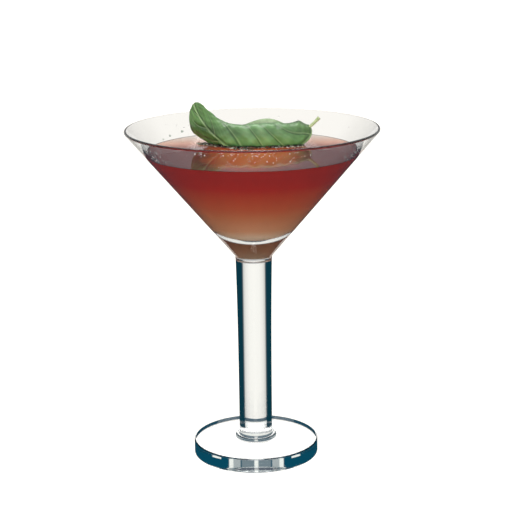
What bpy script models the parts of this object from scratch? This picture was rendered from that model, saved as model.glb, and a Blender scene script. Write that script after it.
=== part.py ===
"""A strawberry martini: a conical cocktail glass on a thick solid stem, the drink in it,
and a folded basil leaf that floats on the drink.

Z is up, the foot stands on z = 0, and the glass's axis is the origin's vertical.
The leaf lies along X with its stalk at +X, a little behind the axis.
"""

import math

import bmesh
import bpy
import numpy as np
from mathutils import Matrix, Vector

MM = 0.001

# Glass: the rim, the bowl's wall and its floor
RIM_RADIUS = 60.0 * MM
GLASS_HEIGHT = 161.2 * MM
RIM_THICKNESS = 1.3 * MM
FLOOR_HEIGHT = 111.1 * MM
FLOOR_ROUNDING = 22.0 * MM
FLOOR_SLOPE = 30.0
WALL_ROUNDING = 100.0 * MM
BOWL_FOOT_RADIUS = 8.8 * MM
BOWL_FOOT_HEIGHT = 99.4 * MM

# Glass: the stem, the bead where it is fused to the foot, and the foot
STEM_RADIUS = 8.0 * MM
STEM_TOP_RADIUS = 8.75 * MM
BEAD_RADIUS = 1.15 * MM
BEAD_RING_RADIUS = 8.9 * MM
BEAD_HEIGHT = 8.15 * MM
FOOT_RADIUS = 30.3 * MM
FOOT_THICKNESS = 7.1 * MM
FOOT_EDGE = 0.7 * MM

# Drink
DRINK_LEVEL = 150.0 * MM
GAP = 0.3 * MM

# Leaf
LEAF_THICKNESS = 0.6 * MM
STALK_RADIUS = 0.85 * MM
STALK_PATH = ((24.6, 14.4, 156.6), (27.4, 15.0, 158.6), (29.6, 15.3, 160.4), (32.2, 15.5, 163.0))
LEAN_GROWTH = 1.3
LATERAL_VEINS = 6
VEIN_SLANT = 0.16
QUILTING = 0.35 * MM
QUILT_LEVEL = 0.4
QUILT_SPREAD = 0.7

# Where the leaf's shape is set, from the stalk to the tip. Each row gives the midrib's
# place (x, y, z in mm), the way the upper half leaves it in the XZ plane (degrees from +X),
# then for the upper and the lower half its width (mm) and how far it leans back
# from that plane at the midrib and at the margin (degrees)
LEAF_STATIONS = (
    (27.6, 15.0, 159.2, 150, 1.0, 10, 60, 1.0, 70, 90),
    (28.0, 12.0, 155.0, 132, 13.5, -5, 115, 8.0, 88, 120),
    (22.0, 8.5, 151.7, 118, 18.5, -25, 150, 16.5, 90, 150),
    (10.5, 6.5, 151.4, 100, 19.0, -30, 160, 20.5, 90, 168),
    (-1.0, 5.5, 151.4, 92, 18.0, -30, 160, 18.0, 90, 165),
    (-11.5, 6.5, 152.1, 82, 15.5, -24, 135, 13.0, 86, 130),
    (-18.5, 9.0, 156.4, 62, 10.0, -12, 90, 10.0, 30, 110),
    (-23.8, 11.5, 162.7, 50, 6.4, -5, 60, 8.4, 5, 50),
    (-26.9, 13.5, 168.2, 45, 3.9, 0, 50, 4.6, 0, 40),
    (-27.6, 14.5, 170.6, 45, 0.9, 0, 40, 0.9, 0, 30),
)

SCREW_STEPS = 72
FLOOR_STEPS = 5
LEAF_STEPS = 44
LEAF_SIDE_STEPS = 9
ARC_STEPS = 24


def turned_arc(centre, radius, start, end, steps):
    """Points (r, z) on an arc about a centre, its angles in degrees."""
    return [
        centre + Vector((math.cos(angle), math.sin(angle))) * radius
        for angle in (math.radians(start + (end - start) * k / steps) for k in range(steps + 1))
    ]


def tangent_angle(point, centre, radius, side):
    """The angle, in degrees, of the point on a circle where a line from outside touches it."""
    away = point - centre
    return math.degrees(math.atan2(away.y, away.x) + side * math.acos(radius / away.length))


def corner_arc(before, corner, after, radius, steps):
    """A corner of the outline rounded by an arc tangent to both of its sides."""
    back = (before - corner).normalized()
    ahead = (after - corner).normalized()
    half = back.angle(ahead) / 2
    centre = corner + (back + ahead).normalized() * (radius / math.sin(half))
    first = corner + back * (radius / math.tan(half)) - centre
    last = corner + ahead * (radius / math.tan(half)) - centre
    turn = -first.angle_signed(last)
    return [centre + Matrix.Rotation(turn * k / steps, 2) @ first for k in range(steps + 1)]


RIM_CENTRE = Vector((RIM_RADIUS - RIM_THICKNESS / 2, GLASS_HEIGHT - RIM_THICKNESS / 2))
FLOOR_CENTRE = Vector((0, FLOOR_HEIGHT + FLOOR_ROUNDING))
WALL_CENTRE = FLOOR_CENTRE + Matrix.Rotation(math.radians(FLOOR_SLOPE), 2) @ Vector(
    (0, WALL_ROUNDING - FLOOR_ROUNDING)
)
BOWL_FOOT = Vector((BOWL_FOOT_RADIUS, BOWL_FOOT_HEIGHT))


def rim_angles():
    """Where the inner and the outer wall meet the half-round rim, in degrees."""
    inner = tangent_angle(WALL_CENTRE, RIM_CENTRE, RIM_THICKNESS / 2 + WALL_ROUNDING, -1)
    outer = tangent_angle(BOWL_FOOT, RIM_CENTRE, RIM_THICKNESS / 2, 1)
    return inner, outer


def stem_outline(steps=7):
    """The stem from the bowl down: it narrows with the cube of the height to its bead."""
    foot_of_stem = BEAD_HEIGHT + BEAD_RADIUS / 2
    outline = []
    for k in range(steps + 1):
        part = 1 - k / steps
        swell = (STEM_TOP_RADIUS - STEM_RADIUS) * part**3
        height = foot_of_stem + (BOWL_FOOT_HEIGHT - foot_of_stem) * part
        outline.append(Vector((STEM_RADIUS + swell, height)))
    return outline


def bead_outline():
    """The bead round the stem's foot, from the stem's side over its widest ring to the foot."""
    ring = Vector((BEAD_RING_RADIUS, BEAD_HEIGHT))
    at_stem = 180 - math.degrees(math.acos((BEAD_RING_RADIUS - STEM_RADIUS) / BEAD_RADIUS))
    at_foot = -math.degrees(math.asin((BEAD_HEIGHT - FOOT_THICKNESS) / BEAD_RADIUS))
    return turned_arc(ring, BEAD_RADIUS, at_stem, at_foot, 7)


def bowl_outline(gap=0.0):
    """The inside of the bowl from the middle of its floor outwards, moved inwards by a gap.

    A narrow arc makes the floor, and a wide one goes on from it until the straight wall.
    """
    join = FLOOR_SLOPE - 90
    wall_side = rim_angles()[0] - 180
    floor = turned_arc(FLOOR_CENTRE, FLOOR_ROUNDING - gap, -90, join, FLOOR_STEPS)
    wall = turned_arc(WALL_CENTRE, WALL_ROUNDING - gap, join, wall_side, FLOOR_STEPS)
    return floor + wall[1:]


def glass_outline():
    """From the middle of the bowl's floor, up the inner wall, over the rim and down outside."""
    foot_top = Vector((FOOT_RADIUS, FOOT_THICKNESS))
    foot_bottom = Vector((FOOT_RADIUS, 0))
    bead = bead_outline()
    outline = bowl_outline()
    outline += turned_arc(RIM_CENTRE, RIM_THICKNESS / 2, *rim_angles(), 6)
    outline += [BOWL_FOOT] + stem_outline()[:-1] + bead
    outline += corner_arc(bead[-1], foot_top, foot_bottom, FOOT_EDGE, 3)
    outline += corner_arc(foot_top, foot_bottom, Vector((0, 0)), FOOT_EDGE, 3)
    outline.append(Vector((0, 0)))
    return outline


def drink_outline():
    """The drink from the middle of its surface, down beside the inner wall to the floor."""
    inside = bowl_outline(GAP)
    slope = math.radians(rim_angles()[0] - 90)
    reach = inside[-1].x + (DRINK_LEVEL - inside[-1].y) / math.tan(slope)
    return [Vector((0, DRINK_LEVEL)), Vector((reach, DRINK_LEVEL))] + inside[::-1]


def material(name, colour, roughness, transmission=0.0, ior=1.5):
    """A Principled material with the piece's own colour, gloss and clearness."""
    made = bpy.data.materials.new(name)
    made.use_nodes = True
    shader = made.node_tree.nodes["Principled BSDF"]
    shader.inputs["Base Color"].default_value = (*colour, 1)
    shader.inputs["Roughness"].default_value = roughness
    shader.inputs["Metallic"].default_value = 0.0
    shader.inputs["Transmission Weight"].default_value = transmission
    shader.inputs["IOR"].default_value = ior
    return made


def placed(name, mesh, collection, finish):
    """A new object of this mesh, with its material, in a collection."""
    obj = bpy.data.objects.new(name, mesh)
    mesh.materials.append(finish)
    collection.objects.link(obj)
    return obj


def turned(name, outline, collection, finish):
    """An outline in (r, z) turned once round the Z axis by a Screw modifier."""
    mesh = bpy.data.meshes.new(name)
    points = [(point.x, 0, point.y) for point in outline]
    mesh.from_pydata(points, [(k, k + 1) for k in range(len(points) - 1)], [])
    obj = placed(name, mesh, collection, finish)
    screw = obj.modifiers.new("turned", "SCREW")
    screw.steps = SCREW_STEPS
    screw.render_steps = SCREW_STEPS
    screw.use_merge_vertices = True
    screw.merge_threshold = 0.01 * MM
    screw.use_smooth_shade = True
    return obj


def along(values, place):
    """A Catmull-Rom curve through evenly spaced values, read at places from 0 to 1."""
    ends = (2 * values[:1] - values[1:2], values, 2 * values[-1:] - values[-2:-1])
    padded = np.concatenate(ends)
    scaled = np.clip(place, 0, 1) * (len(values) - 1)
    left = np.minimum(scaled.astype(int), len(values) - 2)
    t = (scaled - left)[:, None]
    a, b, c, d = (padded[left + k] for k in range(4))
    return b + t / 2 * (c - a + t * (2 * a - 5 * b + 4 * c - d + t * (3 * (b - c) + d - a)))


def half_blade(place, side):
    """Points of the leaf from the midrib out to one margin, for arrays of places along it.

    side runs from -1 at the lower margin over 0 at the midrib to 1 at the upper one. Each
    half is an arc: it sets off leaning back by its first angle and ends at its second one.
    The blade is quilted: it swells between the lateral veins and dips along them.
    """
    x, y, z, way, *halves = along(np.array(LEAF_STATIONS, float), place).T
    width, start, end = (np.where(side > 0, a, b) for a, b in zip(halves[:3], halves[3:]))
    across = np.abs(side)

    def lean(travelled):
        """How far the blade leans back at this share of the half's width."""
        return np.radians(start + (end - start) * travelled**LEAN_GROWTH)

    radial = np.zeros_like(x)
    back = np.zeros_like(x)
    for k in range(ARC_STEPS):
        angle = lean(across * (k + 0.5) / ARC_STEPS)
        radial += np.cos(angle) * across * width / ARC_STEPS
        back += np.sin(angle) * across * width / ARC_STEPS
    way = np.radians(way)
    outward = np.sign(side) * np.array((np.cos(way), np.zeros_like(way), np.sin(way)))
    points = np.array((x, y + back, z)) + outward * radial
    facing = outward * np.sin(lean(across))
    facing[1] = -np.cos(lean(across))
    wave = np.sin(math.pi * LATERAL_VEINS * (place - VEIN_SLANT * across)) ** 2
    swell = QUILTING / MM * (wave - QUILT_LEVEL) * np.sin(math.pi * across**QUILT_SPREAD)
    return (points + facing * swell).T * MM


def leaf_blade(collection, finish):
    """The blade: a grid laid over its length and width, bent to shape and given a thickness."""
    blade = bmesh.new()
    bmesh.ops.create_grid(blade, x_segments=LEAF_STEPS, y_segments=2 * LEAF_SIDE_STEPS, size=1)
    flat = np.array([vert.co for vert in blade.verts])
    bent = half_blade((flat[:, 0] + 1) / 2, flat[:, 1])
    for vert, point in zip(blade.verts, bent):
        vert.co = point
    mesh = bpy.data.meshes.new("basil_leaf")
    blade.to_mesh(mesh)
    blade.free()
    mesh.shade_smooth()
    leaf = placed("basil_leaf", mesh, collection, finish)
    shell = leaf.modifiers.new("thickness", "SOLIDIFY")
    shell.thickness = LEAF_THICKNESS
    shell.offset = 0
    return leaf


def leaf_stalk(collection, finish):
    """The stalk: a tube along its path, made a closed mesh so that it can be joined."""
    path = bpy.data.curves.new("leaf_stalk", "CURVE")
    path.dimensions = "3D"
    path.bevel_depth = STALK_RADIUS
    path.bevel_resolution = 2
    path.use_fill_caps = True
    path.resolution_u = 3
    spline = path.splines.new("BEZIER")
    spline.bezier_points.add(len(STALK_PATH) - 1)
    for point, place in zip(spline.bezier_points, STALK_PATH):
        point.co = Vector(place) * MM
        point.handle_left_type = point.handle_right_type = "AUTO"
    tube = bpy.data.objects.new("leaf_stalk_curve", path)
    collection.objects.link(tube)
    evaluated = tube.evaluated_get(bpy.context.evaluated_depsgraph_get())
    mesh = bpy.data.meshes.new_from_object(evaluated)
    bpy.data.objects.remove(tube)
    welded = bmesh.new()
    welded.from_mesh(mesh)
    bmesh.ops.remove_doubles(welded, verts=welded.verts, dist=0.001 * MM)
    welded.to_mesh(mesh)
    welded.free()
    mesh.materials.clear()
    mesh.shade_smooth()
    stalk = placed("leaf_stalk", mesh, collection, finish)
    stalk.hide_render = True
    stalk.display_type = "WIRE"
    return stalk


def build():
    """Clears the scene and makes the glass, the drink and the leaf."""
    for obj in list(bpy.data.objects):
        bpy.data.objects.remove(obj)
    part = bpy.data.collections.new("strawberry_martini")
    cutters = bpy.data.collections.new("joined_pieces")
    for collection in (part, cutters):
        bpy.context.scene.collection.children.link(collection)
    cutters.hide_render = True
    clear = material("clear glass", (0.93, 0.98, 0.97), 0.0, transmission=1.0, ior=1.5)
    liquid = material("strawberry drink", (0.55, 0.06, 0.04), 0.05, transmission=0.6, ior=1.35)
    green = material("basil leaf", (0.10, 0.24, 0.05), 0.4)
    turned("martini_glass", glass_outline(), part, clear)
    turned("drink", drink_outline(), part, liquid)
    leaf = leaf_blade(part, green)
    join = leaf.modifiers.new("stalk", "BOOLEAN")
    join.operation = "UNION"
    join.object = leaf_stalk(cutters, green)


build()
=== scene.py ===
"""Looks of the strawberry martini: clear glass, cloudy drink, and a basil leaf with its bubbles.

Sizes are in millimetres and become metres where a mesh is made. Z is up from the foot, and the
glass's axis is the origin's vertical.
"""

import math

import bpy
import numpy as np
from mathutils import Matrix


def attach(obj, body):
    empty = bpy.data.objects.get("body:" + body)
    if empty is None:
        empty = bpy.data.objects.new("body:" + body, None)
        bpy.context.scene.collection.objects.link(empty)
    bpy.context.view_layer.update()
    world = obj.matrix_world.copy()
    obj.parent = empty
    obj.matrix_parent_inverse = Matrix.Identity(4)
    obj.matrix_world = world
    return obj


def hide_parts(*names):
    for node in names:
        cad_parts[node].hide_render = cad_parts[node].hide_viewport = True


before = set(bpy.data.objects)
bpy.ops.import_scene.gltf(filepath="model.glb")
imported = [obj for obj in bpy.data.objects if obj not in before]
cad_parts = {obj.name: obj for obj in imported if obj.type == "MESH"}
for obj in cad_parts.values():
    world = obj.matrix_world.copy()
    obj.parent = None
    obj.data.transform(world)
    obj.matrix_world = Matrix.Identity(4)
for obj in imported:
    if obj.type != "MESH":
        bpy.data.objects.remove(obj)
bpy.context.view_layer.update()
MM = 0.001

# Glass, as in the solids
RIM_RADIUS = 60.0
GLASS_HEIGHT = 161.2
RIM_THICKNESS = 1.3
FLOOR_HEIGHT = 111.1
FLOOR_ROUNDING = 22.0
FLOOR_SLOPE = 30.0
WALL_ROUNDING = 100.0
BOWL_FOOT_RADIUS = 8.8
BOWL_FOOT_HEIGHT = 99.4
BOWL_FOOT_ROUNDING = 3.0
STEM_RADIUS = 8.0
STEM_TOP_RADIUS = 8.75
BEAD_RADIUS = 1.15
BEAD_RING_RADIUS = 8.9
BEAD_HEIGHT = 8.15
FOOT_RADIUS = 30.3
FOOT_THICKNESS = 7.1
FOOT_EDGE = 0.7
TURN_STEPS = 256
STEM_ROWS = 64

# Drink: its wet surface, a little above the solid's as a brimming drink stands, how far the clear
# skin reaches into the wall, and how deep under the skin the cloud begins
DRINK_LEVEL = 150.6
INTO_WALL = 0.05
CLOUD_DEPTH_AT_WALL = 0.35
CLOUD_DEPTH_AT_TOP = 0.12
GLASS_IOR = 1.5
DRINK_IOR = 1.35
WATER_IOR = 1.33

# Leaf, as in the solids. A station has the midrib's x, y and z, the way across the blade there,
# and for the half where side is positive, then the other, its width and the leans, in degrees,
# with which it starts and ends.
LEAF_THICKNESS = 0.6
STALK_RADIUS = 0.8
STALK_PATH = ((24.6, 14.4, 156.6), (27.4, 15.0, 158.6), (29.6, 15.3, 160.4), (32.2, 15.5, 163.0))
LEAN_GROWTH = 1.3
LEAF_STATIONS = (
    (27.6, 15.0, 159.2, 150, 1.0, 10, 60, 1.0, 70, 90),
    (28.0, 12.0, 155.0, 132, 13.5, -5, 115, 8.0, 88, 120),
    (22.0, 8.5, 151.7, 118, 18.5, -25, 150, 16.5, 90, 150),
    (10.5, 6.5, 151.4, 100, 19.0, -30, 160, 20.5, 90, 168),
    (-1.0, 5.5, 151.4, 92, 18.0, -30, 160, 18.0, 90, 165),
    (-11.5, 6.5, 152.1, 82, 15.5, -24, 135, 13.0, 86, 130),
    (-18.5, 9.0, 156.4, 62, 10.0, -12, 90, 10.0, 30, 110),
    (-23.8, 11.5, 162.7, 50, 6.4, -5, 60, 8.4, 5, 50),
    (-26.9, 13.5, 168.2, 45, 3.9, 0, 50, 4.6, 0, 40),
    (-27.6, 14.5, 170.6, 45, 0.9, 0, 40, 0.9, 0, 30),
)

# Leaf's finer form: its sag onto the drink, the grid that carries it, and its veins
LEAF_SAG = 1.9
LEAF_DRY_HEIGHT = 155.0
LEAF_LENGTH = 66.0
LEAF_ROWS = 260
LEAF_COLUMNS = 120
ROW_CROWDING = 0.35
COLUMN_CROWDING = 0.4
LATERAL_VEINS = 8
LATERAL_OFFSET = 0.3
LATERAL_WIDTH = 0.25
LATERAL_STRENGTH = 0.8
MIDRIB_WIDTH = 0.4
VEIN_SLANT = 0.16
VEIN_BEND = 0.05
# How much the laterals' slant and pitch waver, and how fast they do along the blade
SLANT_WAVER = (0.45, 11)
PITCH_WAVER = (0.2, 17)
# Half the blade's width at places from the stalk to the tip
HALF_WIDTHS = ((0, 0.3, 0.8, 1), (10, 19, 9, 3))
# How far beside its vein each crease runs, and its width
LATERAL_CREASE = (0.6, 0.35)
MIDRIB_CREASE = (0.8, 0.5)
VEIN_DEPTH = 0.10
CREASE_DEPTH = 0.22
SWELL_HEIGHT = 0.34
SWELL_MIDDLE = 0.45
# Each ripple's height, and how fast its two waves turn along and across the blade
RIPPLES = ((0.12, (61, 3), (9, 17)), (0.06, (137, -11), (-23, 31)))

# Stalk's grid, flare at its ends, waist between them, and the groove along its top
STALK_ROWS = 60
STALK_COLUMNS = 24
STALK_FLARE = 0.18
STALK_WAIST = 0.08
GROOVE_DEPTH = 0.10
GROOVE_WIDTH = 0.35

# Bubbles: a seed for each piece, so that every run draws the same ones
FOAM_SEED = 7
WATERLINE_SEED = 3
FROTH_SEED = 23
DROPLET_SEED = 11
JUICE_SEED = 5
BALL_COLUMNS = 10
BALL_ROWS = 5
STRAYS_WITHIN = 44.0
# Three bigger bubbles on the drink, near the wall at the left
BIG_BUBBLES = ((-24.4, -8.0), (-22.8, -3.5), (-25.6, -1.2))
BIG_BUBBLE_RADII = (0.95, 0.6, 0.5)
# Three bubbles on the wall behind the leaf's tip
WALL_BUBBLE_ANGLES = (142.0, 132.0, 149.0)
WALL_BUBBLE_HEIGHTS = (152.4, 153.2, 151.6)
WALL_BUBBLE_RADII = (0.55, 0.65, 0.45)
WALL_BUBBLE_INSET = 0.3
# Where droplets crowd round the wall: the middle angle, the spread and the number
DROPLET_CLUSTERS = ((216, 7, 26), (331, 6, 12), (131, 8, 9), (60, 40, 8))

# Heights that the leaf's painted light and shade follow: its ends, and the band where it meets the
# drink, darkened partly as wet leaf and partly as painted shade
LEAF_BOTTOM = 150.0
LEAF_TOP = 172.0
WET_SHADE_BELOW = 151.4
UNDARKENED_ABOVE = 153.2
WET_SHADE_WAVER = 3.0

# Patterns, by the size of their patches
PULP_CLOUD = 11.1
JUICE_CLOUD = 16.7
FROTH_PATCH = 3.33
BLADE_PATCH = 7.69
STALK_PATCH = 2.5
# A real leaf's net of fine veins is about 1 mm wide. It is drawn wider, so that it shows.
VEIN_NET = 2.38

# Camera, fitted to the photo's outlines: metres, degrees and pixels
CAMERA_PLACE = (0.0011, -0.6947, 0.27875)
CAMERA_PITCH = 14.506
CAMERA_ROLL = -0.7265
FOCAL_PIXELS = 1498.42
PICTURE_PIXELS = 512

# Studio: the colours of its dark cards, and the shares of light that they hold back, by how far
# off the axis the light passes as a share of the glass's radius there. Beside the foot they are a
# dark bar, and faint streaks towards the edges.
FLAG_COLOUR = "0c3644"
FLOOR_CARD_COLOUR = "38424a"
FOOT_CARD_COLOUR = "0a4a60"
BEAD_CARD_COLOUR = "3a4658"
STEM_STOPS = ((0.0, 0.0), (0.3, 0.03), (0.5, 0.15), (0.62, 0.35), (0.68, 0.9), (0.73, 1.0))
FOOT_STOPS = (
    *((0.0, 0.0), (0.44, 0.0), (0.46, 0.95), (0.56, 0.95), (0.58, 0.0), (0.71, 0.0), (0.74, 1.0)),
    *((0.79, 0.96), (0.83, 1.0), (0.88, 0.93), (0.92, 1.0), (0.96, 0.95)),
)
FLOOR_STOPS = ((0.0, 0.36), (0.22, 0.4), (0.34, 0.8), (0.8, 0.8), (0.86, 0.5), (0.9, 0.3), (1.0, 0.3))
SKY_STOPS = ((0.0, 1.0), (0.03, 1.0), (0.08, 0.4), (0.45, 0.4), (0.6, 0.8))
CARD_STEPS = 128
STUDIO_REACH = 3000.0
FLOOR_DROP = 0.2

# MapRange takes in order a value, the range that it has and the range that it gets. A Mix node's
# colour sockets go by number, because others share their names.
MIX_SHARE, MIX_FROM, MIX_TO = 0, 6, 7
MIX_COLOURS = {"output": 2, "data_type": "RGBA"}


def unit(angle):
    """A point (r, z) on the unit circle at this angle in degrees, for one angle or an array."""
    return np.stack((np.cos(np.radians(angle)), np.sin(np.radians(angle))), -1)


def arc(centre, radius, start, end, spacing=1.0, fewest=8):
    """Points (r, z) on an arc about a centre, no further apart than the spacing.

    A circle: centre + radius * (cos, sin) of angles spread evenly from start to end.
    """
    steps = max(fewest, int(abs(math.radians(end - start)) * radius / spacing))
    return np.array(centre) + radius * unit(np.linspace(start, end, steps + 1))


def line(start, end, spacing=1.5, close=0.03):
    """Points (r, z) on a straight line, with one more close to each end.

    Start plus shares of the way to the end. The close points keep the shading of the line
    true up to a sharp corner, because a smooth shade is shared out at the corner alone.
    """
    start, end = np.array(start, float), np.array(end, float)
    length = np.linalg.norm(end - start)
    shares = np.linspace(0, 1, max(2, int(length / spacing)) + 1)
    shares = np.sort(np.append(shares, (close / length, 1 - close / length)))
    return start + shares[:, None] * (end - start)


def rounded(before, corner, after, radius):
    """A corner rounded by an arc that touches both of its sides.

    The arc's centre lies on the corner's bisector, radius / sin(half the angle) away.
    """
    before, corner, after = (np.array(point, float) for point in (before, corner, after))
    back = (before - corner) / np.linalg.norm(before - corner)
    ahead = (after - corner) / np.linalg.norm(after - corner)
    half = math.acos(back @ ahead) / 2
    bisector = (back + ahead) / np.linalg.norm(back + ahead)
    centre = corner + bisector * radius / math.sin(half)
    first, last = (corner + way * radius / math.tan(half) - centre for way in (back, ahead))
    start, end = (math.degrees(math.atan2(spoke[1], spoke[0])) for spoke in (first, last))
    turn = (end - start + 180) % 360 - 180
    return arc(centre, radius, start, start + turn, spacing=0.25)


def touching(point, centre, radius, side):
    """The angle in degrees at which a line from the point touches the circle.

    The direction to the point, turned by acos(radius / distance) to one side.
    """
    away = np.array(point) - np.array(centre)
    return math.degrees(math.atan2(away[1], away[0]) + side * math.acos(radius / np.hypot(*away)))


RIM_CENTRE = np.array((RIM_RADIUS - RIM_THICKNESS / 2, GLASS_HEIGHT - RIM_THICKNESS / 2))
FLOOR_CENTRE = np.array((0.0, FLOOR_HEIGHT + FLOOR_ROUNDING))
WALL_CENTRE = FLOOR_CENTRE + (WALL_ROUNDING - FLOOR_ROUNDING) * unit(90 + FLOOR_SLOPE)
BOWL_FOOT = np.array((BOWL_FOOT_RADIUS, BOWL_FOOT_HEIGHT))
INNER_RIM = touching(WALL_CENTRE, RIM_CENTRE, RIM_THICKNESS / 2 + WALL_ROUNDING, -1)
OUTER_RIM = touching(BOWL_FOOT, RIM_CENTRE, RIM_THICKNESS / 2, 1)
WALL_SIDE = INNER_RIM - 180
WALL_ANGLE = math.radians(WALL_SIDE + 90)


def bowl_inside(inset):
    """The bowl's inside from the middle of its floor outwards, moved inwards by an inset.

    A narrow arc about FLOOR_CENTRE, then a wide one about WALL_CENTRE up to the straight wall.
    """
    floor = arc(FLOOR_CENTRE, FLOOR_ROUNDING - inset, -90, FLOOR_SLOPE - 90, spacing=0.5)
    wall = arc(WALL_CENTRE, WALL_ROUNDING - inset, FLOOR_SLOPE - 90, WALL_SIDE)
    floor[0, 0] = 0
    return np.concatenate((floor, wall[1:]))


def inside_radius(height, inset=0.0):
    """The inside's radius at a height on the straight wall: the wall's line solved for r."""
    foot = bowl_inside(inset)[-1]
    return foot[0] + (height - foot[1]) / math.tan(WALL_ANGLE)


def wall_radius(height):
    """The inside's radius at heights from the floor to the rim: the outline read at a height."""
    inside = np.concatenate((bowl_inside(0), [(inside_radius(GLASS_HEIGHT), GLASS_HEIGHT)]))
    return np.interp(height, inside[:, 1], inside[:, 0])


def placed(name, data):
    """An object in the scene, at the origin, with this mesh, light or camera."""
    made = bpy.data.objects.new(name, data)
    bpy.context.scene.collection.objects.link(made)
    return made


def mesh_object(name, points, faces):
    """A smooth object at the origin from points in mm and a list of face arrays, faces outwards.

    The volume under all faces, a sum of cross products, tells whether they point outwards.
    """
    points = np.asarray(points, float)
    corners = [points[array[:, [0, k, k + 1]]] for array in faces for k in range(1, array.shape[1] - 1)]
    triangles = np.concatenate(corners)
    volume = np.einsum("ij,ij->", triangles[:, 0], np.cross(triangles[:, 1], triangles[:, 2]))
    if volume < 0:
        faces = [array[:, ::-1] for array in faces]
    mesh = bpy.data.meshes.new(name)
    sizes = np.concatenate([np.full(len(array), array.shape[1]) for array in faces])
    loops = np.concatenate([array.ravel() for array in faces])
    mesh.vertices.add(len(points))
    mesh.vertices.foreach_set("co", (points * MM).astype(np.float32).ravel())
    mesh.loops.add(len(loops))
    mesh.loops.foreach_set("vertex_index", loops.astype(np.int32))
    mesh.polygons.add(len(sizes))
    mesh.polygons.foreach_set("loop_start", (np.cumsum(sizes) - sizes).astype(np.int32))
    mesh.update(calc_edges=True)
    mesh.validate()
    mesh.shade_smooth()
    return placed(name, mesh)


def closed_skin(rings, first, last):
    """Points and faces of a closed skin over rings, with one point before and one after them.

    Neighbouring rings are joined by four-sided faces, the end rings to their points by threes.
    """
    rows, columns = rings.shape[:2]
    points = np.concatenate((rings.reshape(-1, 3), [first, last]))
    index = np.arange(rows * columns).reshape(rows, columns)
    ahead = np.roll(index, -1, axis=1)
    quads = np.stack((index[:-1], ahead[:-1], ahead[1:], index[1:]), -1).reshape(-1, 4)
    start = np.stack((ahead[0], index[0], np.full(columns, rows * columns)), -1)
    end = np.stack((index[-1], ahead[-1], np.full(columns, rows * columns + 1)), -1)
    return points, [quads, start, end]


def turned_rings(outline, steps=TURN_STEPS):
    """Rings of an outline turned about Z: (r cos a, r sin a, z) for steps even angles a."""
    angle = np.linspace(0, 2 * math.pi, steps, endpoint=False)
    radius, height = outline[:, :1], outline[:, 1:]
    return np.stack((radius * np.cos(angle), radius * np.sin(angle), height + 0 * angle), -1)


def turned(name, outline, first_until):
    """A closed turned piece whose outline starts and ends on the axis.

    The faces from the outline's point number first_until onwards take the second material.
    """
    first, last = ((0, 0, point[1]) for point in (outline[0], outline[-1]))
    made = mesh_object(name, *closed_skin(turned_rings(outline[1:-1]), first, last))
    bands = np.repeat(np.arange(1, len(outline) - 2), TURN_STEPS)
    ends = np.repeat((0, len(outline)), TURN_STEPS)
    segment = np.concatenate((bands, ends))
    made.data.polygons.foreach_set("material_index", (segment >= first_until).astype(np.int32))
    return made


def without_repeats(outline, closest=0.001):
    """The outline without points closer to the one before than the closest that is allowed."""
    steps = np.linalg.norm(np.diff(outline, axis=0), axis=1)
    return outline[np.append(True, steps > closest)]


def glass_outline():
    """From the middle of the bowl's floor, up inside, over the rim, down outside to the foot.

    Straight lines and arcs, but for the stem, which swells with the cube of its height.
    """
    above_ring = math.acos((BEAD_RING_RADIUS - STEM_RADIUS) / BEAD_RADIUS)
    below_ring = math.asin((BEAD_HEIGHT - FOOT_THICKNESS) / BEAD_RADIUS)
    bead_ends = (180 - math.degrees(above_ring), -math.degrees(below_ring))
    stem_foot = BEAD_HEIGHT + BEAD_RADIUS * math.sin(above_ring)
    rim = arc(RIM_CENTRE, RIM_THICKNESS / 2, INNER_RIM, OUTER_RIM, spacing=0.12)
    fillet = rounded(rim[-1], BOWL_FOOT, BOWL_FOOT - (0, 1), BOWL_FOOT_ROUNDING)
    height = np.linspace(fillet[-1, 1], stem_foot, STEM_ROWS)
    risen = (height - stem_foot) / (BOWL_FOOT_HEIGHT - stem_foot)
    stem = np.stack((STEM_RADIUS + (STEM_TOP_RADIUS - STEM_RADIUS) * risen**3, height), 1)
    bead = arc((BEAD_RING_RADIUS, BEAD_HEIGHT), BEAD_RADIUS, *bead_ends, spacing=0.15)
    foot_top, foot_bottom = (FOOT_RADIUS, FOOT_THICKNESS), (FOOT_RADIUS, 0.0)
    edge = rounded(bead[-1], foot_top, foot_bottom, FOOT_EDGE)
    base = rounded(foot_top, foot_bottom, (0, 0), FOOT_EDGE)
    inside = bowl_inside(0)
    wet_edge = (inside_radius(DRINK_LEVEL), DRINK_LEVEL)
    bowl = (inside, line(inside[-1], wet_edge), line(wet_edge, rim[0]), rim, line(rim[-1], fillet[0]))
    foot = (line(bead[-1], edge[0]), edge, line(edge[-1], base[0]), base, line(base[-1], (0, 0)))
    return without_repeats(np.concatenate((*bowl, fillet, stem, bead, *foot)))


def drink_outline(inset, level):
    """The drink from the middle of its surface outwards, then down beside the wall to the floor.

    A level line to the wall, the straight wall downwards, and the bowl's inside reversed.
    """
    edge = (inside_radius(level, inset), level)
    inside = bowl_inside(inset)[::-1]
    surface = line((0, level), edge)
    return without_repeats(np.concatenate((surface, line(edge, inside[0])[1:], inside[1:])))


def along(values, place):
    """A Catmull-Rom curve through evenly spaced values, read at places from 0 to 1."""
    values = np.asarray(values, float)
    padded = np.concatenate((2 * values[:1] - values[1:2], values, 2 * values[-1:] - values[-2:-1]))
    scaled = np.clip(place, 0, 1) * (len(values) - 1)
    left = np.minimum(scaled.astype(int), len(values) - 2)
    t = (scaled - left)[..., None]
    a, b, c, d = (padded[left + k] for k in range(4))
    return b + t / 2 * (c - a + t * (2 * a - 5 * b + 4 * c - d + t * (3 * (b - c) + d - a)))


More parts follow.
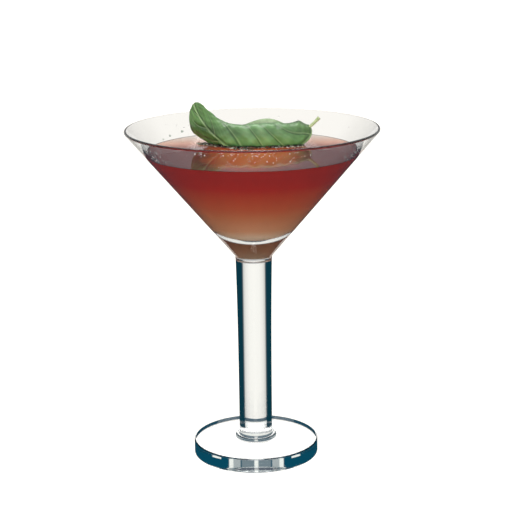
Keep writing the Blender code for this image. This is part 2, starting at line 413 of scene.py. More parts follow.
def leaf_surface(place, side, steps=24):
    """The leaf's middle surface for grids of place (stalk 0 to tip 1) and side (-1 to 1).

    From the midrib each half follows an arc whose lean grows from one angle to another with
    the distance travelled; the arc is the running sum of the lean's cosine and sine. Below
    LEAF_DRY_HEIGHT the wet blade sags in proportion, until it just dips into the drink.
    """
    stations = np.moveaxis(along(LEAF_STATIONS, place), -1, 0)
    x, y, z, way, *halves = stations
    width, start, end = (np.where(side > 0, a, b) for a, b in zip(halves[:3], halves[3:]))
    across = np.abs(side)
    radial = np.zeros_like(x)
    back = np.zeros_like(x)
    for k in range(steps):
        lean = np.radians(start + (end - start) * (across * (k + 0.5) / steps) ** LEAN_GROWTH)
        radial += np.cos(lean) * across * width / steps
        back += np.sin(lean) * across * width / steps
    way = np.radians(way)
    radial *= np.sign(side)
    height = z + radial * np.sin(way)
    height -= LEAF_SAG * np.clip((LEAF_DRY_HEIGHT - height) / (LEAF_DRY_HEIGHT - DRINK_LEVEL), 0, 1)
    return np.stack((x + radial * np.cos(way), y + back, height), -1)


def bell(distance, width):
    """A bell curve, 1 at no distance: e to the power of minus the square of distance / width."""
    return np.exp(-((distance / width) ** 2))


def vein_lines(place, side):
    """How near each point is to a vein, 1 on it and 0 away from it: midrib and laterals.

    A lateral leaves the midrib at a pitch and a slant that waver along the blade, and bends
    towards the tip with the square of the distance. Nearness is a bell curve of the distance
    to the closest one. The crease beside each vein is the same curve, moved aside. The phase
    counts the laterals.
    """
    across = np.abs(side)
    (slant_share, slant_rate), (pitch_share, pitch_rate) = SLANT_WAVER, PITCH_WAVER
    slant = VEIN_SLANT * (1 - slant_share * np.cos(slant_rate * place))
    shifted = place - slant * across - VEIN_BEND * across**2
    phase = shifted * LATERAL_VEINS + np.where(side > 0, 0.0, LATERAL_OFFSET)
    phase = phase + pitch_share * np.sin(pitch_rate * place)
    from_lateral = ((phase + 0.5) % 1 - 0.5) / LATERAL_VEINS * LEAF_LENGTH
    from_midrib = side * np.interp(place, *HALF_WIDTHS)
    # A lateral fades towards the margin, at the stalk and at the tip
    fade = np.clip(1.15 - across, 0, 1) * np.clip(shifted * 12, 0, 1) * np.clip((1 - place) * 9, 0, 1)
    lateral, midrib = bell(from_lateral, LATERAL_WIDTH) * fade, bell(from_midrib, MIDRIB_WIDTH)
    (lateral_aside, lateral_width), (midrib_aside, midrib_width) = LATERAL_CREASE, MIDRIB_CREASE
    beside_lateral = bell(from_lateral - lateral_aside, lateral_width) * fade
    beside_midrib = bell(from_midrib - midrib_aside, midrib_width)
    vein = np.maximum(midrib, LATERAL_STRENGTH * lateral)
    return vein, np.maximum(beside_lateral, beside_midrib), phase


def leaf_relief(place, side):
    """How far the blade's surface stands out in mm, and its vein and crease lines.

    Swells between the laterals, as the square of the phase's sine, plus the product of two
    waves for each ripple; both fade to nothing at the stalk and the tip. It sinks along the
    veins and the creases.
    """
    vein, crease, phase = vein_lines(place, side)
    swell = SWELL_HEIGHT * (np.sin(math.pi * phase) ** 2 - SWELL_MIDDLE)
    swell = swell * np.sin(math.pi * np.abs(side) ** 0.7)
    ripple = sum(
        height * np.sin(place * a + side * b) * np.sin(place * c + side * d)
        for height, (a, b), (c, d) in RIPPLES
    )
    relief = (swell + ripple) * np.clip((1 - place) * 8, 0, 1) * np.clip(place * 8, 0, 1)
    relief -= VEIN_DEPTH * vein + CREASE_DEPTH * crease
    return relief, vein, crease


def basil_leaf():
    """The blade as a closed skin: rings run round the blade from margin to margin and back.

    Each point is the middle surface and its relief, plus half the thickness along the normal,
    which shrinks to nothing at the margins like a half ellipse. Rows and columns crowd towards
    the ends by a share of a cosine's or sine's spacing.
    """
    near_end = 0.02
    row = (0.5 - 0.5 * np.cos(np.linspace(near_end, math.pi - near_end, LEAF_ROWS))) * ROW_CROWDING
    row += np.linspace(0, 1, LEAF_ROWS) * (1 - ROW_CROWDING)
    column = np.sin(np.linspace(-math.pi / 2, math.pi / 2, LEAF_COLUMNS)) * COLUMN_CROWDING
    column += np.linspace(-1, 1, LEAF_COLUMNS) * (1 - COLUMN_CROWDING)
    place, side = np.meshgrid(row, column, indexing="ij")
    middle = leaf_surface(place, side)
    facing = np.cross(np.gradient(middle, axis=0), np.gradient(middle, axis=1))
    facing /= np.linalg.norm(facing, axis=-1, keepdims=True) + 1e-9
    if facing[LEAF_ROWS // 2, LEAF_COLUMNS // 2, 1] > 0:
        facing = -facing
    relief, vein, crease = leaf_relief(place, side)
    middle = middle + facing * relief[..., None]
    half = 0.5 * LEAF_THICKNESS * np.sqrt(np.clip(1 - np.abs(side) ** 6, 0, 1))[..., None]
    outer = middle + facing * half
    inner = middle - facing * half
    rings = np.concatenate((outer, inner[:, -2:0:-1]), axis=1)
    skin = closed_skin(rings, middle[0].mean(0), middle[-1].mean(0))
    leaf = mesh_object("basil_leaf_blade", *skin)
    puff = np.clip(0.5 + relief, 0, 1)
    values = {
        "vein": (vein, vein),
        "puff": (puff, puff),
        "crease": (crease, crease),
        "underside": (np.zeros_like(vein), np.ones_like(vein)),
        "place": (place, place),
    }
    for name, (above, below) in values.items():
        grid = np.concatenate((above, below[:, -2:0:-1]), axis=1)
        ends = (grid[0].mean(), grid[-1].mean())
        attribute = leaf.data.attributes.new(name, "FLOAT", "POINT")
        attribute.data.foreach_set("value", np.append(grid.ravel(), ends).astype(np.float32))
    return leaf


def leaf_stalk():
    """The stalk: a round profile carried along a smooth path, a little thicker at both ends.

    At each point the ring lies in the plane across the path: two unit vectors square to it.
    """
    place = np.linspace(0, 1, STALK_ROWS)
    path = along(STALK_PATH, place)
    ahead = np.gradient(path, axis=0)
    ahead /= np.linalg.norm(ahead, axis=1, keepdims=True)
    sideways = np.cross(ahead, (0, 1, 0))
    sideways /= np.linalg.norm(sideways, axis=1, keepdims=True)
    upwards = np.cross(sideways, ahead)
    angle = np.linspace(0, 2 * math.pi, STALK_COLUMNS, endpoint=False)
    flare, waist = STALK_FLARE * (2 * place - 1) ** 4, STALK_WAIST * np.sin(math.pi * place)
    radius = STALK_RADIUS * (1 + flare - waist)
    groove = 1 - GROOVE_DEPTH * bell(angle - math.pi / 2, GROOVE_WIDTH)
    spokes = sideways[:, None] * np.cos(angle)[:, None] + upwards[:, None] * np.sin(angle)[:, None]
    rings = path[:, None] + spokes * radius[:, None, None] * groove[:, None]
    return mesh_object("basil_leaf_stalk", *closed_skin(rings, path[0], path[-1]))


def beads(name, centres, radii):
    """Small round beads in one object, each a ball of five dozen faces.

    A point of a ball: centre + radius * (sin b cos a, sin b sin a, cos b), over even a and b.
    """
    a = np.linspace(0, 2 * math.pi, BALL_COLUMNS, endpoint=False)
    b = np.linspace(0, math.pi, BALL_ROWS + 2)[1:-1, None]
    rings = np.stack((np.sin(b) * np.cos(a), np.sin(b) * np.sin(a), np.cos(b) + 0 * a), -1)
    ball, faces = closed_skin(rings, (0, 0, 1), (0, 0, -1))
    points = (centres[:, None] + ball * radii[:, None, None]).reshape(-1, 3)
    offset = np.arange(len(centres))[:, None, None] * len(ball)
    faces = [(array + offset).reshape(-1, array.shape[1]) for array in faces]
    return mesh_object(name, points, faces)


def mostly_small(random, count, least, span, power):
    """Radii from least to least + span, most of them small: a random share to a power."""
    return least + span * random.random(count) ** power


def beside(random, spots, sideways, behind, forwards):
    """Points moved off the spots: by a bell curve sideways, and by an exponential forwards,
    which starts this far behind them."""
    moved = (random.normal(0, sideways, len(spots)), behind - random.exponential(forwards, len(spots)))
    return spots + np.stack(moved, 1)


def floating(spots, radii, lift):
    """Centres of beads at spots (x, y), above the drink's surface by a share of their radii."""
    return np.column_stack((spots, DRINK_LEVEL + lift * radii))


def on_wall(angle, distance, height):
    """Points at a distance from the axis and at a height, turned by an angle in degrees."""
    return np.column_stack((unit(angle) * distance[:, None], height))


def waterline(random, count, touching_height=0.3):
    """Random points (x, y) along the line where the blade sits on the drink.

    For each place along the blade it is the lowest point of the middle surface across it, kept
    where that point touches the drink.
    """
    place, side = np.meshgrid(np.linspace(0.1, 0.8, 300), np.linspace(-1, 1, 200), indexing="ij")
    surface = leaf_surface(place, side)
    lowest = np.take_along_axis(surface, surface[..., 2].argmin(1)[:, None, None], 1)[:, 0]
    lowest = lowest[lowest[:, 2] < DRINK_LEVEL + touching_height]
    return lowest[random.integers(0, len(lowest), count), :2]


def trail(random, count):
    """Random points (x, y) on the drink under the leaf's raised tip, where bubbles trail back.

    A straight line from the blade's waterline to under the tip, spread by a bell curve.
    """
    at_waterline, under_tip, spread = (-1.0, 0.0), (-25.0, 17.0), 0.9
    share = random.random((count, 1))
    return (1 - share) * at_waterline + share * under_tip + random.normal(0, spread, (count, 2))


def strays(random, count, sideways):
    """Random points (x, y) that drift out in front of the leaf, none of them at the wall.

    A bell curve sideways, and an exponential forwards, so that most lie near the leaf.
    """
    middle, start, forwards = 1, -2, 9
    across = random.normal(middle, sideways, count)
    spots = np.stack((across, start - random.exponential(forwards, count)), 1)
    return spots[np.hypot(*spots.T) < STRAYS_WITHIN]


def foam_bubbles():
    """Stray bubbles that drift out in front of the leaf, and three bigger ones."""
    random = np.random.default_rng(FOAM_SEED)
    spots = np.concatenate((strays(random, 170, sideways=13), BIG_BUBBLES))
    radii = mostly_small(random, len(spots), least=0.14, span=0.4, power=3)
    radii[-len(BIG_BUBBLES):] = BIG_BUBBLE_RADII
    return beads("foam_bubbles", floating(spots, radii, lift=0.45), radii)


def waterline_bubbles():
    """Bubbles that crowd along the blade's waterline and behind it, with three that stick to the wall
    behind the leaf's tip. Their film is tinted green as a painted reflection of the leaf."""
    random = np.random.default_rng(WATERLINE_SEED)
    spots = beside(random, waterline(random, 460), sideways=0.5, behind=0.5, forwards=0.9)
    spots = np.concatenate((spots, trail(random, 240)))
    radii = mostly_small(random, len(spots), least=0.3, span=0.5, power=2)
    height = np.array(WALL_BUBBLE_HEIGHTS)
    at_wall = on_wall(np.array(WALL_BUBBLE_ANGLES), inside_radius(height) - WALL_BUBBLE_INSET, height)
    centres = np.concatenate((floating(spots, radii, lift=0.5), at_wall))
    return beads("waterline_bubbles", centres, np.append(radii, WALL_BUBBLE_RADII))


def froth_and_glint_beads():
    """The finest froth, too small to look through: white beads at the waterline and adrift, which stand
    partly for real froth and partly for painted glints on the bubbles.
    """
    random = np.random.default_rng(FROTH_SEED)
    at_leaf = beside(random, waterline(random, 110), sideways=0.8, behind=-0.4, forwards=0.8)
    adrift = strays(random, 110, sideways=12)
    spots = np.concatenate((at_leaf, adrift, trail(random, 60)))
    radii = random.uniform(0.14, 0.3, len(spots))
    # Painted glints: the white beads stand partly for real froth and partly for glints on the bubbles.
    return beads("froth_and_glint_beads", floating(spots, radii, lift=0.3), radii)


def wall_droplets():
    """Splashed droplets on the wall above the drink, thickest to the left and right in front.

    Each sits on the inside: radius of the wall at its height, turned by its angle.
    """
    random = np.random.default_rng(DROPLET_SEED)
    angle = np.concatenate([random.normal(*cluster) for cluster in DROPLET_CLUSTERS])
    height = random.uniform(DRINK_LEVEL + 0.8, DRINK_LEVEL + 7, len(angle))
    radii = mostly_small(random, len(angle), least=0.18, span=0.35, power=2)
    distance = inside_radius(height) - 0.55 * radii
    return beads("wall_droplets", on_wall(angle, distance, height), radii)


def juice_bubbles():
    """Tiny bubbles against the wall below the surface, most of them low down and near the top."""
    random = np.random.default_rng(JUICE_SEED)
    low_down = random.uniform(116, 124, 70)
    near_top = DRINK_LEVEL - 1 - random.exponential(2.0, 110)
    height = np.concatenate((low_down, near_top))
    angle = random.uniform(0, 360, len(height))
    radii = random.uniform(0.1, 0.2, len(height))
    distance = wall_radius(height) - CLOUD_DEPTH_AT_WALL * 0.8
    return beads("juice_bubbles", on_wall(angle, distance, height), radii)


def linear(colour):
    """An sRGB colour such as "a0c4b2" as linear red, green, blue and alpha."""
    values = np.array([int(colour[k:k + 2], 16) for k in (0, 2, 4)]) / 255
    values = np.where(values <= 0.04045, values / 12.92, ((values + 0.055) / 1.055) ** 2.4)
    return (*values.tolist(), 1.0)


def new_material(name):
    """An empty node material, its tree and the Principled shader on its output."""
    made = bpy.data.materials.new(name)
    made.use_nodes = True
    return made, made.node_tree, made.node_tree.nodes["Principled BSDF"]


def set_stops(ramp, stops):
    """Gives a ramp its stops, each a place with a hex colour or a grey share."""
    while len(ramp.elements) < len(stops):
        ramp.elements.new(0.5)
    for element, (place, colour) in zip(ramp.elements, stops):
        element.position = place
        element.color = linear(colour) if isinstance(colour, str) else (colour, colour, colour, 1)


def set_inputs(tree, made, inputs):
    """Sets a node's inputs, in order or by name or number, to values or to other outputs."""
    for place, value in inputs.items() if isinstance(inputs, dict) else enumerate(inputs):
        if isinstance(value, bpy.types.NodeSocket):
            tree.links.new(value, made.inputs[place])
        else:
            made.inputs[place].default_value = value


def node(tree, kind, inputs=(), output=0, stops=(), **settings):
    """Adds a node with its settings, inputs and a ramp's stops, and gives one of its outputs."""
    made = tree.nodes.new("ShaderNode" + kind)
    for name, value in settings.items():
        setattr(made, name, value)
    if stops:
        set_stops(made.color_ramp, stops)
    set_inputs(tree, made, inputs)
    return made.outputs[output]


def clear(name, ior, tint, density):
    """A clear, mirror-smooth material that tints light with a density per metre of its depth."""
    made, tree, shader = new_material(name)
    surface = {"Base Color": (1, 1, 1, 1), "Roughness": 0.0, "IOR": ior, "Transmission Weight": 1.0}
    set_inputs(tree, shader, surface)
    tinted = node(tree, "VolumeAbsorption", {"Color": linear(tint), "Density": density})
    set_inputs(tree, tree.nodes["Material Output"], {"Volume": tinted})
    return made


def glass_materials():
    """Soda-lime glass, fire-polished: mirror-smooth, colourless when thin, and blue-green
    through the thick stem and foot. Where the drink wets it, light meets the drink instead of
    air, so that part takes glass's index over the drink's and hardly mirrors."""
    tint, density = "a8d8dc", 4.0
    wetted = clear("soda_lime_glass_wetted", GLASS_IOR / DRINK_IOR, tint, density)
    return [wetted, clear("soda_lime_glass", GLASS_IOR, tint, density)]


def drink_skin_materials():
    """The outermost clear layer of a strained cocktail: a wet and glossy top, and sides that
    bend no light because the wetted glass has done so."""
    tint, density = "e06050", 60.0
    top = clear("cocktail_clear_layer", DRINK_IOR, tint, density)
    return [top, clear("cocktail_clear_layer_at_glass", 1.0, tint, density)]


def pulp_with_painted_glow_at_top():
    """Strawberry pulp seen from above, stirred in and strained: matt dark red. An orange halo in front
    of the leaf is painted light glowing through the drink, and a pale colour towards the back is painted
    light from the back wall glowing through the shallow drink, both in soft clouds."""
    halo_width, halo_depth, halo_ahead, back_glow_reach = 25, 46, 11.5, 50
    made, tree, shader = new_material("strawberry_pulp_at_top")
    place = node(tree, "TexCoord", output="Object")
    spread = {
        "Vector": place,
        "Location": (0.0, halo_ahead / halo_depth, 0.0),
        "Scale": (1 / (halo_width * MM), 1 / (halo_depth * MM), 0.0),
    }
    distance = node(tree, "VectorMath", (node(tree, "Mapping", spread),), "Value", operation="LENGTH")
    clouds = {"Vector": place, "Scale": 1 / (PULP_CLOUD * MM), "Detail": 4.0}
    drift = node(tree, "MapRange", (node(tree, "TexNoise", clouds), 0, 1, -0.2, 0.2))
    # Painted light: an orange glow through the drink in front of the leaf, fading to dark red away from
    # it.
    halo = node(tree, "Math", (distance, drift), operation="ADD")
    red = ((0.0, "d65e2c"), (0.45, "d0582b"), (0.78, "ae482f"), (1.0, "7a3636"))
    middle = node(tree, "ValToRGB", (halo,), stops=red)
    # Painted light: paler towards the back, as light from the back wall glows through the shallow drink.
    behind = node(tree, "SeparateXYZ", (place,), "Y")
    behind = node(tree, "Math", (behind, back_glow_reach * MM), operation="DIVIDE")
    behind = node(tree, "Math", (drift, 0.3, behind), operation="MULTIPLY_ADD")
    pale = ((0.2, "de8e70"), (0.4, "f0bca0"), (0.65, "f8e2d2"), (0.85, "fcf8f0"))
    froth = node(tree, "ValToRGB", (behind,), stops=pale)
    share = node(tree, "MapRange", (behind, 0, 0.4), interpolation_type="SMOOTHSTEP")
    colour = node(tree, "Mix", {MIX_SHARE: share, MIX_FROM: middle, MIX_TO: froth}, **MIX_COLOURS)
    set_inputs(tree, shader, {"Base Color": colour, "Roughness": 0.6, "Specular IOR Level": 0.0})
    return made


def juice_with_painted_light_at_side():
    """Strawberry juice seen through the wall: matt dark red at the top. Lower down it turns tan, painted
    light glowing through the thinner drink near the bottom, and at the very bottom dark brown, painted
    shade on the drink's underside."""
    made, tree, shader = new_material("strawberry_juice_at_side")
    place = node(tree, "TexCoord", output="Object")
    height = node(tree, "SeparateXYZ", (place,), "Z")
    level = node(tree, "MapRange", (height, FLOOR_HEIGHT * MM, DRINK_LEVEL * MM))
    clouds = {"Vector": place, "Scale": 1 / (JUICE_CLOUD * MM), "Detail": 3.0}
    drift = node(tree, "MapRange", (node(tree, "TexNoise", clouds), 0, 1, -0.02, 0.02))
    level = node(tree, "Math", (level, drift), operation="ADD")
    # Painted light and shade: tan low down, where light glows through the thinner drink, and dark brown
    # at the very bottom, the shaded underside.
    tan_to_red = (
        *((0.0, "8a4a30"), (0.03, "e8b090"), (0.08, "f6be9e"), (0.16, "ee9a72"), (0.306, "e08058")),
        *((0.451, "d66242"), (0.596, "ce4e36"), (0.741, "c6352e"), (0.887, "bb322f")),
    )
    colour = node(tree, "ValToRGB", (level,), stops=tan_to_red)
    set_inputs(tree, shader, {"Base Color": colour, "Roughness": 0.6, "Specular IOR Level": 0.0})
    return made


def bubble_film():
    """Bubbles and droplets of the drink, shaken in: clear and mirror-smooth, with glints."""
    return clear("cocktail_bubble_film", WATER_IOR, "f0c8b0", 20.0)


def leaf_reflection_bubble_film():
    """Bubbles that cling to the basil: clear and mirror-smooth, tinted dark green as a painted
    reflection of the leaf.
    """
    # Painted reflection: the dark green tint stands in for the leaf mirrored in the bubbles.
    return clear("basil_green_bubble_film", WATER_IOR, "3c8a50", 600.0)


def froth():
    """Shaken froth: countless bubbles that scatter all light, so it is white and satin, and a little
    creamy in patches. The white beads are partly real froth and partly painted glints on the bubbles."""
    made, tree, shader = new_material("shaken_froth_and_painted_glints")
    patches = {"Vector": node(tree, "TexCoord", output="Object"), "Scale": 1 / (FROTH_PATCH * MM)}
    cream_to_white = ((0.35, "f6e6c8"), (0.65, "ffffff"))
    colour = node(tree, "ValToRGB", (node(tree, "TexNoise", patches),), stops=cream_to_white)
    set_inputs(tree, shader, {"Base Color": colour, "Roughness": 0.2})
    return made


def leaf_green():
    """Fresh basil: a deep green upper face under a thin glossy cuticle, with pale sunken veins, and a
    matt, paler underside. The blade's own attributes carry its veins and swellings and tell its two
    faces apart. The swellings are painted lighter and the creases beside the veins darker, as painted
    light and shade, and a paler green along the middle of its length is a painted sheen. Height decides
    the rest, as painted light and shade: darkest where it lies in the drink, which is partly wet leaf
    and partly painted shade, light just above, duller where it folds over, and light again at the tip."""
    made, tree, shader = new_material("fresh_basil_blade")
    place = node(tree, "TexCoord", output="Object")
    height = node(tree, "SeparateXYZ", (place,), "Z")
    vein, crease, puff, along_blade, underside = (
        node(tree, "Attribute", output="Fac", attribute_name=name)
        for name in ("vein", "crease", "puff", "place", "underside")
    )
    patches = node(tree, "TexNoise", {"Vector": place, "Scale": 1 / (BLADE_PATCH * MM), "Detail": 4.0})
    # Painted light and shade: the greens below are lighter where the blade swells and darker between the
    # swellings.
    painted_swell_light = node(tree, "Math", (puff, 0.6, -0.05), operation="MULTIPLY_ADD")
    painted_swell_light = node(tree, "Math", (patches, 0.5, painted_swell_light), operation="MULTIPLY_ADD")
    fresh, sheen_greens = (
        node(tree, "ValToRGB", (painted_swell_light,), stops=tuple(zip((0.2, 0.5, 0.8), greens)))
        for greens in (("2f4f20", "44682e", "5a8444"), ("406536", "5b864e", "7fa871"))
    )
    # Painted sheen: a paler green along the middle of the blade's length, mixed in below.
    sheen_stops = ((0.1, 0.0), (0.25, 0.8), (0.45, 1.0), (0.68, 0.3), (0.85, 0.0))
    painted_sheen = node(tree, "ValToRGB", (along_blade,), stops=sheen_stops)
    lower = node(tree, "ValToRGB", (patches,), stops=((0.3, "93ad80"), (0.7, "b4c8a2")))
    # Painted shade: the creases beside the veins are darkened.
    dark = node(tree, "Math", (crease, 0.62), operation="MULTIPLY")
    pale = node(tree, "Math", (vein, 0.55), operation="MULTIPLY")
    blade = fresh
    overlays = ((painted_sheen, sheen_greens), (underside, lower), (dark, linear("1f3c1a")), (pale, linear("a5bf86")))
    for share, colour in overlays:
        blade = node(tree, "Mix", {MIX_SHARE: share, MIX_FROM: blade, MIX_TO: colour}, **MIX_COLOURS)
    # Painted light and shade by height: lighter low down and at the tip, darker where the blade folds
    # over.
    level = node(tree, "MapRange", (height, LEAF_BOTTOM * MM, LEAF_TOP * MM))
    lightness = ((0.09, 1.0), (0.2, 0.95), (0.33, 0.6), (0.42, 0.57), (0.6, 0.86))
    painted_light_by_height = node(tree, "ValToRGB", (level,), stops=lightness)
    painted_light_by_height = node(tree, "Math", (painted_light_by_height, 1.3), operation="MULTIPLY")
    blade = node(tree, "VectorMath", {0: blade, "Scale": painted_light_by_height}, operation="SCALE")
    # Painted shade: the blade darkens near the drink, partly as wet leaf and partly as shade where it
    # meets the drink.
    height = node(tree, "Math", (patches, WET_SHADE_WAVER * MM, height), operation="MULTIPLY_ADD")
    wet = node(tree, "MapRange", (height, WET_SHADE_BELOW * MM, UNDARKENED_ABOVE * MM, 0.75, 0.0))
    wet_and_painted_shade = linear("1c3a26")
    colour = node(tree, "Mix", {MIX_SHARE: wet, MIX_FROM: blade, MIX_TO: wet_and_painted_shade}, **MIX_COLOURS)
    net = {"Vector": place, "Scale": 1 / (VEIN_NET * MM)}
    cells = node(tree, "TexVoronoi", net, "Distance", feature="DISTANCE_TO_EDGE")
    relief = node(tree, "Bump", {"Strength": 0.6, "Distance": 0.3 * MM, "Height": cells})
    roughness = node(tree, "MapRange", (underside, 0, 1, 0.32, 0.6))
    set_inputs(tree, shader, {"Base Color": colour, "Normal": relief, "Roughness": roughness})
    set_inputs(tree, shader, {"Coat Weight": 0.3, "Coat Roughness": 0.12})
    return made


def stalk_green():
    """The cut stalk's skin: pale olive green, in small paler patches, satin."""
    made, tree, shader = new_material("basil_stalk_skin")
    place = node(tree, "TexCoord", output="Object")
    patches = node(tree, "TexNoise", {"Vector": place, "Scale": 1 / (STALK_PATCH * MM), "Detail": 3.0})
    colour = node(tree, "ValToRGB", (patches,), stops=((0.3, "8a9c68"), (0.7, "b0bd8c")))
    set_inputs(tree, shader, {"Base Color": colour, "Roughness": 0.4})
    return made


def stage_material(name, colour, glow):
    """A plain matt studio surface of one colour, which glows."""
    made, tree, shader = new_material(name)
    matt = {"Base Color": linear(colour), "Roughness": 0.9, "Specular IOR Level": 0.0}
    set_inputs(tree, shader, {**matt, "Emission Color": linear(colour), "Emission Strength": glow})
    return made


def sheet(name, outline, height, material):
    """A flat and level stage sheet through the points (x, y) of its outline, in mm."""
    mesh = bpy.data.meshes.new(name)
    points = [(x * MM, y * MM, height * MM) for x, y in outline]
    mesh.from_pydata(points, [], [tuple(range(len(points)))])
    mesh.materials.append(material)
    made = placed(name, mesh)


def off_centre(tree, glass_radius, slanted=False):
    """How far off the axis light passes, as a share of the glass's radius.

    Seen from above it is the sine of the angle between the light and the spoke from the axis,
    times the distance from the axis. The cosine is that of the light and the spoke over that
    of the light and the level plane. Slanted, it is also times that last cosine, which the
    glass's turned faces leave as it was when they mirror the light.
    """
    place = node(tree, "TexCoord", output="Object")
    flat = node(tree, "VectorMath", (place, (1, 1, 0)), operation="MULTIPLY")
    distance = node(tree, "VectorMath", (flat,), "Value", operation="LENGTH")
    spoke = node(tree, "VectorMath", (flat,), operation="NORMALIZE")
    to_spoke = node(tree, "LayerWeight", {"Blend": 0.5, "Normal": spoke}, "Facing")
    cosine = node(tree, "Math", (1.0, to_spoke), operation="SUBTRACT")
    rise = node(tree, "Math", (1.0, levelness(tree)), operation="SUBTRACT")
    rise_squared = node(tree, "Math", (rise, rise), operation="MULTIPLY")
    level_squared = node(tree, "Math", (1.0, rise_squared), operation="SUBTRACT")
    cosine_squared = node(tree, "Math", (cosine, cosine), operation="MULTIPLY")
    cosine_squared = node(tree, "Math", (cosine_squared, level_squared), operation="DIVIDE")
    sine_squared = node(tree, "Math", (1.0, cosine_squared), operation="SUBTRACT")
    sine = node(tree, "Math", (sine_squared,), operation="SQRT")
    if slanted:
        level = node(tree, "Math", (level_squared,), operation="SQRT")
        sine = node(tree, "Math", (sine, level), operation="MULTIPLY")
    radii = node(tree, "Math", (distance, glass_radius * MM), operation="DIVIDE")
    return node(tree, "Math", (sine, radii), operation="MULTIPLY")


def levelness(tree):
    """1 for light that runs level, and 0 for light that runs straight up or down."""
    up = node(tree, "CombineXYZ", {"Z": 1.0})
    return node(tree, "LayerWeight", {"Blend": 0.5, "Normal": up}, "Facing")


def edge_share(tree, glass_radius, stops):
    """Held back beside the stem or the foot: light near its two edges, which makes them dark,
    and what else the stops say."""
    return node(tree, "ValToRGB", (off_centre(tree, glass_radius),), stops=stops)


def pane_share(tree, inner, middle, outer):
    """Held back from mirrored light round the foot: grey panes, with thin bright gaps and dark
    lines between them, in which the foot's side mirrors the floor and the stem."""
    stops = (
        *((0.0, 0.0), (0.025, 0.0), (0.04, inner), (0.23, inner), (0.25, 1.0), (0.27, middle)),
        *((0.37, middle), (0.385, 0.0), (0.44, 0.0), (0.46, 1.0), (0.57, 1.0), (0.58, outer)),
        *((0.71, outer), (0.73, 1.0)),
    )
    panes = edge_share(tree, FOOT_RADIUS, stops)
    return node(tree, "Math", (panes, mirrored_share(tree)), operation="MULTIPLY")


def floor_share(tree):
    """Held back above the floor: mirrored light that comes from it steeply, by a limit that
    changes with how far off the axis it passes."""
    limit = node(tree, "ValToRGB", (off_centre(tree, RIM_RADIUS, slanted=True),), stops=FLOOR_STOPS)
    steep = node(tree, "Math", (levelness(tree), limit), operation="LESS_THAN")
    return node(tree, "Math", (steep, mirrored_share(tree)), operation="MULTIPLY")


def mirrored_share(tree):
    """Held back: all light that a face has mirrored on its way to the eye, and no other."""
    bounces = node(tree, "LightPath", output="Glossy Depth")
    return node(tree, "Math", (bounces, 0.5), operation="GREATER_THAN")


def card(name, first, last, colour, share, *shares):
    """A dark card, a ring between two circles (r, z), which only glass and gloss show.

    It lets light through but for a share of it, which the share function gives as a socket.
    Light that a matt surface has scattered on its way passes whole.
    """
    material, tree, shader = new_material(name)
    scattered = node(tree, "LightPath", output="Diffuse Depth")
    unscattered = node(tree, "Math", (scattered, 0.5), operation="LESS_THAN")
    held = node(tree, "Math", (share(tree, *shares), unscattered), operation="MULTIPLY")
    dark = node(tree, "Emission", {"Color": linear(colour)})
    mixed = node(tree, "MixShader", (held, node(tree, "BsdfTransparent"), dark))
    set_inputs(tree, tree.nodes["Material Output"], {"Surface": mixed})
    tree.nodes.remove(shader)
    points = turned_rings(np.array((first, last), float), CARD_STEPS).reshape(-1, 3)
    here = np.arange(CARD_STEPS)
    ahead = np.roll(here, -1)
    faces = np.stack((here, ahead, ahead + CARD_STEPS, here + CARD_STEPS), -1)
    made = mesh_object(name, points, [faces])
    made.data.materials.append(material)
    for use in ("camera", "diffuse", "shadow", "volume_scatter"):
        setattr(made, "visible_" + use, False)


def cards():
    """The dark cards, each all the way round the glass, so that every side looks the same.

    They hold back light that passes far off the axis, as black cards at both sides of clear
    glass do, and keep the floor's mirror image off the drink and the foot.
    """
    card("stem_card", (9.3, 9.4), (9.3, 98.6), FLAG_COLOUR, edge_share, STEM_RADIUS, STEM_STOPS)
    card("bead_card", (10.4, 7.3), (10.4, 12.0), BEAD_CARD_COLOUR, pane_share, 0.8, 0.55, 1.0)
    card("foot_card", (30.8, 0.1), (30.8, 7.6), FOOT_CARD_COLOUR, edge_share, FOOT_RADIUS, FOOT_STOPS)
    card("foot_collar", (31.2, 7.8), (60.0, 7.8), FOOT_CARD_COLOUR, pane_share, 0.72, 0.4, 0.0)
    card("near_floor_collar", (28.0, -0.03), (41.0, -0.03), FOOT_CARD_COLOUR, pane_share, 0.8, 0.55, 1.0)
    card("far_floor_collar", (41.0, -0.03), (70.0, -0.03), FOOT_CARD_COLOUR, pane_share, 0.8, 0.55, 0.0)
    card("under_foot_card", (20.0, -0.05), (30.2, -0.05), FOOT_CARD_COLOUR, mirrored_share)
    card("floor_card", (10.6, 7.9), (1200.0, 7.9), FLOOR_CARD_COLOUR, floor_share)


def matt_light(tree, place, near, far, near_light, far_light):
    """How bright a part of the studio is for matt surfaces: it fades smoothly from the photo's
    side, at Y near, to the other, at Y far. Also gives which light is theirs, as 1 or 0."""
    bounces = node(tree, "LightPath", output="Diffuse Depth")
    scattered = node(tree, "Math", (bounces, 0.5), operation="GREATER_THAN")
    fade = (node(tree, "SeparateXYZ", (place,), "Y"), near, far, near_light, far_light)
    return node(tree, "MapRange", fade, interpolation_type="SMOOTHSTEP"), scattered


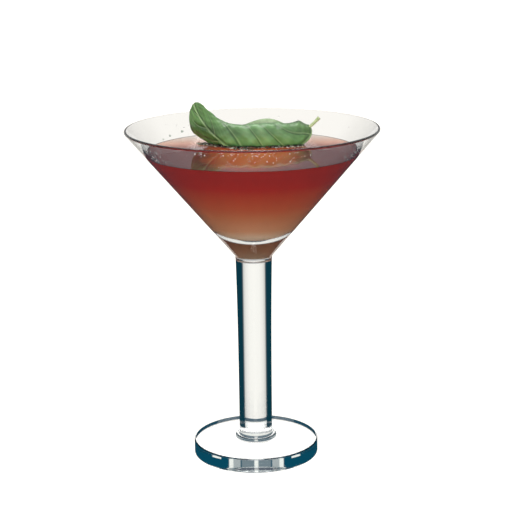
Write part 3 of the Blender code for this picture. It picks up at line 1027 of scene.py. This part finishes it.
def pale_floor():
    """The pale floor, which glows a little more for the camera and, in front, for matt
    surfaces, and a disc under the foot that keeps it bright there."""
    made = stage_material("pale_floor", "fffcf5", glow=1.0)
    tree = made.node_tree
    place = node(tree, "TexCoord", output="Object")
    lit, scattered = matt_light(tree, place, near=-0.25, far=0.12, near_light=1.3, far_light=-0.6)
    seen = node(tree, "LightPath", output="Is Camera Ray")
    direct = node(tree, "Math", (seen, 0.3, 0.92), operation="MULTIPLY_ADD")
    glow = node(tree, "Math", (scattered, lit, direct), operation="MULTIPLY_ADD")
    surface = {"Base Color": (0.05, 0.05, 0.05, 1), "Emission Strength": glow}
    set_inputs(tree, tree.nodes["Principled BSDF"], surface)
    corners = STUDIO_REACH * np.array(((-1, -1), (1, -1), (1, 1), (-1, 1)))
    sheet("floor", corners, -FLOOR_DROP, made)
    disc = 29.8 * unit(np.linspace(0, 360, 97)[:-1])
    bright = stage_material("pale_floor_under_foot", "fffdfa", glow=0.85)
    sheet("floor_under_foot", disc, -FLOOR_DROP / 2, bright)


def surroundings():
    """White surroundings: plain white to the camera, banded by height to glass and gloss, and
    brightest on the photo's side to matt surfaces."""
    made = bpy.data.worlds.new("white_surroundings")
    made.use_nodes = True
    tree = made.node_tree
    way = node(tree, "TexCoord", output="Generated")
    banded = node(tree, "ValToRGB", (node(tree, "SeparateXYZ", (way,), "Z"),), stops=SKY_STOPS)
    lit, scattered = matt_light(tree, way, near=-0.85, far=0.4, near_light=2.2, far_light=0.45)
    unseen = node(tree, "Mix", {MIX_SHARE: scattered, MIX_FROM: banded, MIX_TO: lit}, **MIX_COLOURS)
    seen = node(tree, "LightPath", output="Is Camera Ray")
    sky = node(tree, "Mix", {MIX_SHARE: seen, MIX_FROM: unseen, MIX_TO: (1, 1, 1, 1)}, **MIX_COLOURS)
    set_inputs(tree, tree.nodes["Background"], {"Color": sky})
    bpy.context.scene.world = made


def softbox():
    """The soft light from above and a little behind, in metres and watts."""
    lamp = bpy.data.lights.new("softbox", "AREA")
    lamp.shape = "RECTANGLE"
    lamp.size = 0.7
    lamp.size_y = 0.5
    lamp.energy = 3.3
    placed("softbox", lamp).location = (0, 0.35, 0.95)


def camera():
    """The photo's camera: its place, pitch and small roll, and its focal length."""
    data = bpy.data.cameras.new("photo_camera")
    data.sensor_width = 36.0
    data.lens = FOCAL_PIXELS / PICTURE_PIXELS * data.sensor_width
    made = placed("photo_camera", data)
    pitch = Matrix.Rotation(math.radians(90 - CAMERA_PITCH), 4, "X")
    roll = Matrix.Rotation(math.radians(CAMERA_ROLL), 4, "Z")
    made.matrix_world = Matrix.Translation(CAMERA_PLACE) @ pitch @ roll
    bpy.context.scene.camera = made


def finished(piece, materials, slot, *nodes):
    """Gives the piece its materials and its ride on the one body, and hides the solids that it stands
    for.
    """
    for material in materials:
        piece.data.materials.append(material)
    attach(piece, "root")
    if nodes:
        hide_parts(*nodes)


def build():
    """Makes every piece of the drink and its studio."""
    outline = glass_outline()
    glass = turned("glass_body", outline, np.argmax(outline[:, 1] > DRINK_LEVEL - 0.001))
    finished(glass, glass_materials(), "martini_glass", "martini_glass")
    outline = drink_outline(-INTO_WALL, DRINK_LEVEL)
    skin = turned("drink_surface", outline, np.argmax(outline[:, 0]))
    finished(skin, drink_skin_materials(), "drink", "drink")
    outline = drink_outline(CLOUD_DEPTH_AT_WALL, DRINK_LEVEL - CLOUD_DEPTH_AT_TOP)
    cloud = turned("drink_cloud", outline, np.argmax(outline[:, 0]))
    finished(cloud, [pulp_with_painted_glow_at_top(), juice_with_painted_light_at_side()], "drink")
    finished(basil_leaf(), [leaf_green()], "basil_leaf", "basil_leaf")
    finished(leaf_stalk(), [stalk_green()], "basil_leaf")
    film = bubble_film()
    for piece in (foam_bubbles(), wall_droplets(), juice_bubbles()):
        finished(piece, [film], "drink")
    finished(waterline_bubbles(), [leaf_reflection_bubble_film()], "drink")
    finished(froth_and_glint_beads(), [froth()], "drink")
    pale_floor()
    cards()
    surroundings()
    softbox()
    camera()
    scene = bpy.context.scene
    scene.view_settings.view_transform = "Standard"
    scene.cycles.max_bounces = 24
    scene.cycles.transmission_bounces = 24
    scene.cycles.glossy_bounces = 12


build()
